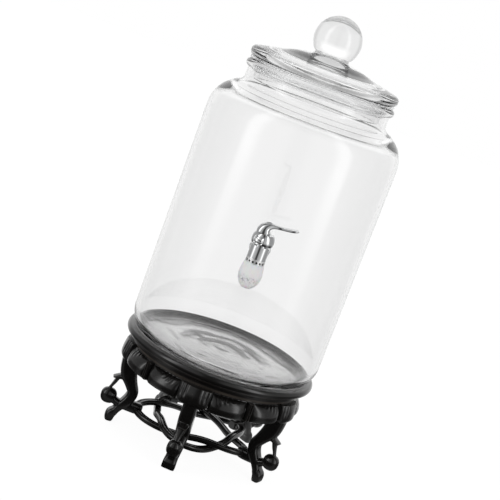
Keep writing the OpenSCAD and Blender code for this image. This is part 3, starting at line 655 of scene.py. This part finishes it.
def head_groove(r, z, a):
    """Sinks the outline of the panel, and one slanted groove in it, into the head."""
    s = math.radians((math.degrees(a) + PANEL_DEG + 180) % 360 - 180) * HEAD_R
    t = z - HEAD_Z - HEAD_H * PANEL_UP
    far = (abs(s / PANEL_W) ** 6 + abs(t / PANEL_H) ** 6) ** (1 / 6)
    slant = 0.8 * math.exp(-((t + 0.3 * s - 0.2) / 0.45) ** 2) * (far < 0.75)
    line = math.exp(-((far - 1) / 0.13) ** 2) + slant
    return r - PANEL_DEEP * min(line, 1) * (r > STEM_R + 3)


def head_mesh():
    mid, top = HEAD_Z + HEAD_H * HEAD_MID, HEAD_Z + HEAD_H
    first = -math.degrees(math.asin((mid - HEAD_Z - HEAD_START) / HEAD_R))
    last = math.degrees(math.asin((top - mid) / HEAD_R))
    under = [(r, HEAD_Z + up) for r, up in HEAD_UNDER]
    foot = HEAD_Z - HEAD_BOSS_H
    bore = [(STEM_R, top), (STEM_R, foot), (HEAD_BOSS_R, foot), (HEAD_BOSS_R, HEAD_Z)]
    line = under + arc(0, mid, HEAD_R, first, last, 30) + bore
    return lathe("tap_head", line, ring=True, y=TAP_Y, n=160, shape=head_groove)


place("tap_ball_head", head_mesh(), "jar", "chrome", "tap_head")


# lever: a hood that leans into a thin rising blade, held by a sunk screw
# x, height above the hub's foot, half thickness, half width, squareness
LEVER = [[-2.3, 0.0, 7.4, 7.9, 2.4], [-2.1, 2.6, 7.4, 8.0, 2.4], [-0.9, 5.6, 6.2, 7.6, 2.4],
         [1.9, 8.2, 3.9, 6.6, 2.6], [6.5, 9.5, 2.0, 5.0, 4], [12.5, 10.1, 1.4, 4.2, 6],
         [19.0, 10.9, 1.3, 5.1, 6], [25.0, 11.9, 1.25, 6.0, 6], [28.6, 12.6, 1.1, 5.7, 5],
         [30.3, 12.9, 0.9, 4.0, 4], [31.0, 13.1, 0.5, 1.6, 3]]


def lever_mesh():
    shape = Shape()
    shape.sweep([[x, z + HUB_Z, *size] for x, z, *size in spline(LEVER, 8)], n=40, y=TAP_Y)
    hole = rod(SCREW_HEAD_R + SCREW_GAP, HUB_Z + DRIVE_H + 0.3, HUB_Z + 20, TAP_Y)
    return cut(shape.mesh("lever", 60), hole)


def screw_mesh():
    low, high = HUB_Z + DRIVE_H + 0.4, HUB_Z + DRIVE_H + 2.0
    line = [(0, high), (SCREW_HEAD_R - 0.9, high), (SCREW_HEAD_R - 0.2, high - 0.35),
            (SCREW_HEAD_R, high - 0.8), (SCREW_HEAD_R, low), (SCREW_R, low),
            (SCREW_R, low - SCREW_L), (0, low - SCREW_L)]
    slot = bar((-4, TAP_Y - SLOT_W / 2, high - SLOT_DEEP), (4, TAP_Y + SLOT_W / 2, high + 1))
    return cut(lathe("screw", line, y=TAP_Y, n=64), slot)


place("lever_hood", lever_mesh(), "lever", "chrome", "tap_lever")
place("lever_screw_head", screw_mesh(), "lever", "chrome", "lever_screw")


# outlet nozzle: a bulb with eight soft faces and an open bore
# shares of the bulb's radius and length
BULB = [(0.92, 0.16), (1.0, 0.4), (0.98, 0.56), (0.87, 0.75), (0.66, 0.9)]
FACE = math.pi / 4
FACE_FADE = 8.0


def eight_sided(r, z, a):
    """Flattens the bulb to eight faces, which fade in below the barrel."""
    if r < SPIGOT_R + 0.5:
        return r
    wide = min(max((NOZZLE_TOP - z) / FACE_FADE, 0), 1)
    flat = (a + FACE / 2) % FACE - FACE / 2
    return r * (1 - wide * (1 - math.cos(FACE / 2) / math.cos(FACE / 2 - abs(flat))))


def nozzle_mesh():
    h = NOZZLE_TOP - NOZZLE_BOT
    seat = NOZZLE_TOP - SPIGOT_H
    bulb = [(NOZZLE_R * wide, NOZZLE_TOP - h * at) for wide, at in BULB]
    outer = [(BARREL_R, NOZZLE_TOP)] + bulb + [(OUTLET_R + OUTLET_WALL, NOZZLE_BOT)]
    inner = [(OUTLET_R, NOZZLE_BOT), (OUTLET_R, seat), (SPIGOT_R, seat), (SPIGOT_R, NOZZLE_TOP)]
    return lathe("nozzle", outer + inner, ring=True, y=TAP_Y, n=128, shape=eight_sided, sharp=18)


place("nozzle_bulb", nozzle_mesh(), "jar", "frosted_plastic", "outlet_nozzle")


# carved stand
def relief(z, swell, out):
    """How far a pad's middle stands out from the backing: full below, drawn back above."""
    up = z - BELLY_Z
    big = swell if up > 0 else BELLY_R
    return out - big + math.sqrt(max(big * big - up * up, 0))


def cushion(u):
    """Section across a pad: full in the middle, rounded back to a shallow groove at its edges."""
    return 0.42 + 0.58 * (1 - min(abs(u), 1) ** 2.4) ** 0.55


EYE_S, EYE_T = 5.5, 9.0
SCROLL_DEEP, SCROLL_PITCH = 0.65, 5.4


def scroll_cut(s, t):
    """Depth of the scroll on a lobe: its eye is near the rib, its arms sweep over the top to the knee."""
    ds, dt = s - EYE_S, t - EYE_T
    rho = math.hypot(ds, dt * 1.15)
    groove = (0.5 - 0.5 * math.cos(2 * math.pi * rho / SCROLL_PITCH - math.atan2(dt, -ds))) ** 1.2
    upper = step(-5.0, 1.5, dt - 0.35 * ds)
    reach = 8.0 if ds > 0 else 13.0
    return SCROLL_DEEP * groove * step(0.8, 3.0, rho) * (1 - step(reach, 1.9 * reach, rho)) * upper


LOBE_CLOSE = 1.02
RIB_GROOVE, RIB_GROOVE_W = 1.3, 0.75


def apron_face(deg, z):
    """Distance of the carved face from the axis: two lobes, and the split rib between them."""
    face = BACK_R
    for at, side in ((LOBE_DEG, 1), (360 / LEGS - LOBE_DEG, -1)):
        out = relief(z, SWELL_R, LOBE_OUT) * cushion((deg - at) / LOBE_HALF * LOBE_CLOSE)
        if out > 0 and abs(deg - at) < LOBE_HALF * LOBE_CLOSE:
            carved = scroll_cut(math.radians(deg - at) * side * LOBE_R, z - APRON_MID) * min(out / 3.0, 1)
            face = max(face, BACK_R + out - carved)
    s = math.radians(deg - 180 / LEGS) * LOBE_R
    low = max(APRON_BOT + RIB_R + 0.5 - z, 0)
    if abs(s) < RIB_R and s * s + low * low < RIB_R ** 2 and z < APRON_TOP - 1.0:
        rib = LOBE_R - RIB_LOW - RIB_R + math.sqrt(RIB_R ** 2 - s * s - low * low)
        face = max(face, rib - RIB_GROOVE * math.exp(-(s / RIB_GROOVE_W) ** 2))
    return face


def column(deg, front, back_r, low):
    """One upright section of the stand's edge: a front line, and a straight back."""
    c, s = math.cos(math.radians(deg)), math.sin(math.radians(deg))
    return [(r * c, r * s, z) for r, z in front + [(back_r, APRON_TOP), (back_r, low)]]


def apron_mesh():
    columns, rows = 230, 52
    first, last = KNEE_DEG - 0.1, 360 / LEGS - KNEE_DEG + 0.1
    heights = [APRON_BOT + (APRON_TOP - APRON_BOT) * j / rows for j in range(rows + 1)]
    rings = []
    for i in range(columns + 1):
        deg = first + (last - first) * i / columns
        rings.append(column(deg, [(apron_face(deg, z), z) for z in heights], BACK_IN_R, APRON_BOT))
    shape = Shape()
    shape.loft(rings)
    return shape.mesh("apron", 50)


RIDGES, RIDGE_W, RIDGE_DEEP = (0.5, 0.72), 0.07, 1.1


def knee_cut(u, z):
    """Depth of the ridges that run over the top of a knee along its two edges."""
    lines = sum(math.exp(-((abs(u) - at) / RIDGE_W) ** 2) for at in RIDGES)
    return RIDGE_DEEP * lines * step(APRON_MID - 7, APRON_MID + 4, z)


def knee_rings():
    """Columns of the knee's pad and backing, with round lower corners."""
    columns, rows, rings = 64, 44, []
    for i in range(columns + 1):
        u = (2 * i / columns - 1) * 0.994
        deg = KNEE_DEG * u
        over = abs(math.sin(math.radians(deg))) * LOBE_R - KNEE_W / 2 + KNEE_CORNER
        over = min(max(over, 0), KNEE_CORNER * 0.985)
        low = APRON_BOT + KNEE_CORNER - math.sqrt(KNEE_CORNER ** 2 - over ** 2)
        front = []
        for j in range(rows + 1):
            z = low + (APRON_TOP - low) * j / rows
            out = max(relief(z, KNEE_SWELL_R, KNEE_OUT), 0) * cushion(u)
            front.append((BACK_R + out - knee_cut(u, z), z))
        rings.append(column(deg, front, BACK_IN_R + 0.3, low))
    return rings


# lines of a leg: distance from the lobes' edge, height, half thickness, half width
STEM = [[-10, APRON_TOP - 0.4, 5, 7], [-10, APRON_MID, 7, 7.6], [-11.4, APRON_BOT, 9.4, 8.2],
        [-14.5, SPUR_Z + 9.5, 9.6, 8.2], [-21, SPUR_Z - 2.5, 7.2, 8.2],
        [-26, (SPUR_Z + BALL_Z) / 2, 6.3, 8.1], [-24.5, BALL_Z + 3, 6, 7.8], [-18, BALL_Z - 7, 4.8, 7.4],
        [-13.5, FOOT_H + 3, 4.2, 7.0], [-10, FOOT_H / 2, 3.4, 6.9]]
BALL_ARM = [[-18, BALL_Z - 7, 4.5, 6.6], [-10, BALL_Z - 4, 4.4, 6.4], [-2, BALL_Z, 4.3, 6.2]]
SPUR = [[-15, SPUR_Z + 4, 4, 6.4], [-8.5, SPUR_Z + 2.2, 3.2, 6.3], [-3.4, SPUR_Z + 0.8, 1.9, 6.0],
        [0.8, SPUR_Z - 0.6, 0.6, 5.2]]
SPUR_STEM = [[-5, SPUR_Z - 0.5, 2.2, 5.9], [-3.5, SPUR_Z - 5.5, 2.0, 4.8], [-1.6, SPUR_Z - 10.5, 1.7, 3.2],
             [0.2, BALL_Z + 8, 1.8, 2.4]]
FOOT = [[-14, FOOT_H + 3, 4.4, 6.9], [-10.4, FOOT_H - 1.5, 5.4, 7.3], [-9.6, 3, 4.9, 7.5],
        [-9.4, 0.4, 4.0, 7.3]]
BOSS = [[CREST_R - LOBE_R - 6, STRETCHER_Z, 5.2, 5.4], [CREST_R - LOBE_R, STRETCHER_Z, 6.4, 6.3],
        [CREST_R - LOBE_R + 8, STRETCHER_Z + 0.3, 6.3, 6.3], [-19.5, STRETCHER_Z + 1, 6, 6.6]]


def leg_mesh():
    leg = Shape()

    def limb(line, power, steps=6):
        leg.sweep(spline([[LOBE_R + x, *rest] for x, *rest in line], steps), power)

    limb(STEM, 4.0)
    leg.loft(knee_rings())
    leg.pillow((LOBE_R - 1.5, 0, BALL_Z), (9.1, 8.0, 9.1), 2.4)
    limb(BALL_ARM, 2.5)
    limb(SPUR, 2.6)
    limb(SPUR_STEM, 2.4)
    limb(FOOT, 4.0)
    limb(BOSS, 3.4, 5)
    return leg.melted("leg", LEG_VOXEL, LEG_SMOOTH)


def strand_mesh():
    """One strand of the stretcher, from a leg past the next one to the one after that."""
    weave = LEGS / 2

    def at(a):
        out = CREST_R - SWING - PINCH + SWING * math.cos(weave * a) + PINCH * math.cos(2 * weave * a)
        return Vector((out * math.cos(a), out * math.sin(a), STRETCHER_Z - STRAND_LIFT * math.sin(weave * a)))

    rings, steps = [], 120
    whole, end = 2 * math.pi / weave, 0.1 / CREST_R
    for i in range(steps + 1):
        a = end + (whole - 2 * end) * i / steps
        p, d = at(a), at(a + 0.01) - at(a - 0.01)
        d = Vector((d.x, d.y)).normalized()
        ring = []
        for u, v in squircle(32, STRAND_W / 2, STRAND_H / 2, 3.0):
            v -= STRAND_GROOVE * math.exp(-(u / 1.3) ** 2) * (v > 0)
            ring.append((p.x + d.y * u, p.y - d.x * u, p.z + v))
        rings.append(ring)
    shape = Shape()
    shape.loft(rings)
    return shape.mesh("strand", 60)


def frame_mesh():
    """Moulded ring: hollow, small bead, rounded edge, and a rim that closes on the jar's round corner."""
    cove = arc(NOSE_X, FRAME_BOT, COVE_R, 180, 92, 14)
    bead = arc(NOSE_X - 0.4, COVE_TOP + 0.5, BEAD_R, -90, 90, 6)
    nose = [(x, NOSE_Z + z * NOSE_TALL) for x, z in arc(NOSE_X, 0, NOSE_R, -90, 90, 20)]
    seat = [(JAR_R - CORNER_R + math.sqrt(CORNER_R ** 2 - (CORNER_R - h) ** 2) + RIM_GAP, JAR_Z + h)
            for h in (6.4, 5.8, 5.2, 4.6, 4.0)]
    x, z = seat[0]
    rim = [(NOSE_X - 2.2, z + 0.2), (NOSE_X - 3.6, z + 0.5), (x + 0.6, z + 0.3)]
    ledge = SEAT_Z - BOARD_T
    well = [(FRAME_IN_R, seat[-1][1]), (FRAME_IN_R, ledge), (LEDGE_IN_R, ledge), (LEDGE_IN_R, FRAME_BOT)]
    return lathe("frame", cove + bead + nose + rim + seat + well, ring=True, sharp=30)


place("moulded_frame", frame_mesh(), "stand", "black_wood", "stand_frame")
apron, leg, strand = apron_mesh(), leg_mesh(), strand_mesh()
for n in range(1, LEGS + 1):
    at = LEG_TURN - 90 + (n - 1) * 360 / LEGS
    place("apron_carved_%d" % n, apron, "stand", "black_wood", "apron_%d" % n, turn=at)
    place("leg_carved_%d" % n, leg, "stand", "black_wood", "leg_%d" % n, turn=at)
    place("strand_%d" % n, strand, "stand", "black_wood", "stretcher_%d" % n, turn=at)


# studio, in metres: white round the object, darker overhead
# Brightness by direction seen from above, behind the object at 0 and in front of it at 1. Gloss sees
# WALLS, with two soft boxes, and nearer on the floor MIDDLE and GROUND. Glass sees through to SIDES.
WALLS = [(0.0, 1.0), (0.1, 1.0), (0.19, 0.58), (0.32, 0.5), (0.42, 0.52), (0.58, 0.5), (0.69, 0.9),
         (0.765, 3.4), (0.8, 3.4), (0.9, 0.8), (0.965, 0.66), (0.988, 0.55), (0.996, 0.12), (1.0, 0.08)]
MIDDLE = [(at, min(level, 1.7)) for at, level in WALLS]
GROUND = [(0.0, 1.0), (0.15, 0.8), (0.35, 0.1), (0.6, 0.08), (0.74, 0.3), (0.82, 0.3), (0.9, 0.06),
          (1.0, 0.02)]
SIDES = [(0.0, 0.95), (0.12, 0.95), (0.26, 0.66), (0.5, 0.68), (0.74, 0.66), (0.88, 0.95), (1.0, 0.95)]
BACK_PANEL = [(0.0, 0.3), (0.1, 0.0), (1.0, 0.0)]
# brightness by height, level at 0 and straight up at 1
GLOSS_ABOVE = [(0.0, 1.0), (0.58, 1.0), (0.76, 0.58), (1.0, 0.38)]
GLASS_ABOVE = [(0.0, 1.0), (0.56, 1.0), (0.74, 0.78), (1.0, 0.6)]
PANEL_RISE = [(0.0, 0.0), (0.06, 0.0), (0.27, 1.0), (0.32, 1.0), (0.56, 0.0)]
SKY_LIGHT = 0.62
FLOOR_HALF, FLOOR_GREY, FLOOR_GLOW, FLOOR_SHADE = 6, 0.85, 1.12, 0.16
GROUND_END, MIDDLE_AT, WALLS_AT = 0.55, 1.0, 3.0
LAMP_DEG, LAMP_AWAY, LAMP_Z, LAMP_SIZE, LAMP_POWER = 53.0, 1.25, 0.47, (0.26, 0.86), 2.6


def round_about(tree, vector, stops):
    """Brightness of the surroundings by their direction from the object, seen from above."""
    part = xyz(tree, vector)
    flat = joined(tree, X=part["X"], Y=part["Y"])
    unit = add(tree, "ShaderNodeVectorMath", {0: flat}, operation="NORMALIZE").outputs[0]
    half = math_node(tree, "MULTIPLY_ADD", xyz(tree, unit)["Y"], -0.5, 0.5)
    return ramp(tree, half, stops, "EASE")


def glow(tree, kind, colour, strength=1.0):
    return add(tree, kind, {"Color": colour, "Strength": strength}).outputs[0]


def switch(tree, factor, off, on):
    return add(tree, "ShaderNodeMixShader", {0: factor, 1: off, 2: on}).outputs[0]


def seen(tree, rays, look, other):
    """Another look for one kind of rays."""
    return switch(tree, add(tree, "ShaderNodeLightPath").outputs["Is %s Ray" % rays], look, other)


def both(tree, a, b, blend="MULTIPLY"):
    return mixed(tree, 1.0, a, b, blend)


world = bpy.data.worlds.new("studio")
scene.world = world
world.use_nodes = True
t = world.node_tree
t.nodes.clear()
way = add(t, "ShaderNodeTexCoord").outputs["Generated"]
up = xyz(t, way)["Z"]
panel = both(t, ramp(t, up, PANEL_RISE, "EASE"), round_about(t, way, BACK_PANEL))
through = both(t, both(t, ramp(t, up, GLASS_ABOVE), round_about(t, way, SIDES)), panel, "ADD")
mirrored = both(t, ramp(t, up, GLOSS_ABOVE), round_about(t, way, WALLS))
# rays through glass also count as glossy, so transmission is asked last
sky = glow(t, "ShaderNodeBackground", grey(1.0), SKY_LIGHT)
sky = seen(t, "Camera", sky, glow(t, "ShaderNodeBackground", grey(1.0)))
sky = seen(t, "Glossy", sky, glow(t, "ShaderNodeBackground", mirrored))
sky = seen(t, "Transmission", sky, glow(t, "ShaderNodeBackground", through))
add(t, "ShaderNodeOutputWorld", {"Surface": sky})

floor_mesh = bpy.data.meshes.new("floor")
h = FLOOR_HALF
floor_mesh.from_pydata([(-h, -h, 0), (h, -h, 0), (h, h, 0), (-h, h, 0)], [], [(0, 1, 2, 3)])
floor = bpy.data.objects.new("floor", floor_mesh)
scene.collection.objects.link(floor)
m = bpy.data.materials.new("floor")
m.use_nodes = True
t = m.node_tree
t.nodes.clear()
matt = add(t, "ShaderNodeBsdfDiffuse", {"Color": grey(FLOOR_GREY)}).outputs[0]
white = switch(t, FLOOR_SHADE, glow(t, "ShaderNodeEmission", grey(1.0), FLOOR_GLOW), matt)
spot = spot_on(t)
away = length(t, spot)
ground, middle, walls = [round_about(t, spot, stops) for stops in (GROUND, MIDDLE, WALLS)]
near = mixed(t, span(t, away, GROUND_END, MIDDLE_AT), ground, middle)
gloss = mixed(t, span(t, away, MIDDLE_AT, WALLS_AT), near, walls)
look = seen(t, "Glossy", matt, glow(t, "ShaderNodeEmission", gloss))
look = seen(t, "Camera", look, white)
look = seen(t, "Transmission", look, glow(t, "ShaderNodeEmission", round_about(t, spot, SIDES)))
add(t, "ShaderNodeOutputMaterial", {"Surface": look})
floor_mesh.materials.append(m)

for side in (-1, 1):
    lamp = bpy.data.lights.new("softbox", "AREA")
    lamp.shape = "RECTANGLE"
    lamp.size, lamp.size_y = LAMP_SIZE
    lamp.energy = LAMP_POWER
    box = bpy.data.objects.new("softbox", lamp)
    scene.collection.objects.link(box)
    turn = math.radians(LAMP_DEG)
    lamp_at = Vector((side * LAMP_AWAY * math.sin(turn), -LAMP_AWAY * math.cos(turn), LAMP_Z))
    box.matrix_world = aimed(lamp_at, Vector((0, 0, LAMP_Z - 0.1)))
    box.visible_glossy = False
    box.visible_transmission = False
